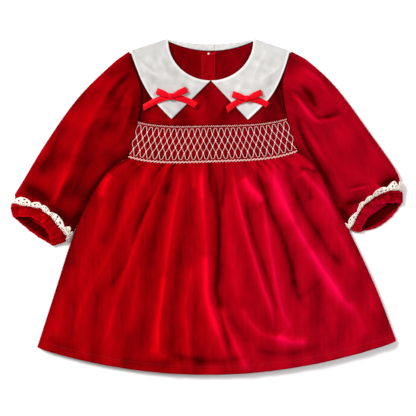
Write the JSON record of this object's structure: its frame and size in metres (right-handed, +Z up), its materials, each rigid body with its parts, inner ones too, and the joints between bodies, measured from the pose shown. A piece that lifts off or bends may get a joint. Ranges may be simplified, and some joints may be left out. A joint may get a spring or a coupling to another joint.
{
  "type": "toddler party dress",
  "caption": "Toddler's long-sleeved velvet party dress with a smocked chest, a pointed white collar with bows and lace cuffs, laid flat on its back",
  "frame": {"origin": "on the surface that the dress lies on, under the middle of the back skirt, at the mount back_rest", "axes": "+X across the dress to the right as seen from above its front, the longest extent; +Y from the hem to the neck; +Z up out of the front, the shortest extent"},
  "size_m": [0.5526, 0.4711, 0.0251],
  "materials": {
    "velvet": "soft red pile with a sheen",
    "collar_cloth": "smooth white cotton satin",
    "lace": "matt cream cotton lace",
    "ribbon": "bright red satin ribbon"
  },
  "bodies": {
    "root": {"skirt_front": "velvet", "skirt_back": "velvet", "smocked_panel": "velvet", "yoke_front": "velvet", "back_left": "velvet", "back_right": "velvet", "placket": "velvet", "sleeve_left": "velvet", "sleeve_right": "velvet", "cuff_left": "velvet", "cuff_right": "velvet", "lace_left": "lace", "lace_right": "lace", "collar_left": "collar_cloth", "collar_right": "collar_cloth", "neck_binding_left": "collar_cloth", "neck_binding_right": "collar_cloth", "bow_left": "ribbon", "bow_right": "ribbon", "button_loop": "ribbon"}
  },
  "joints": []
}
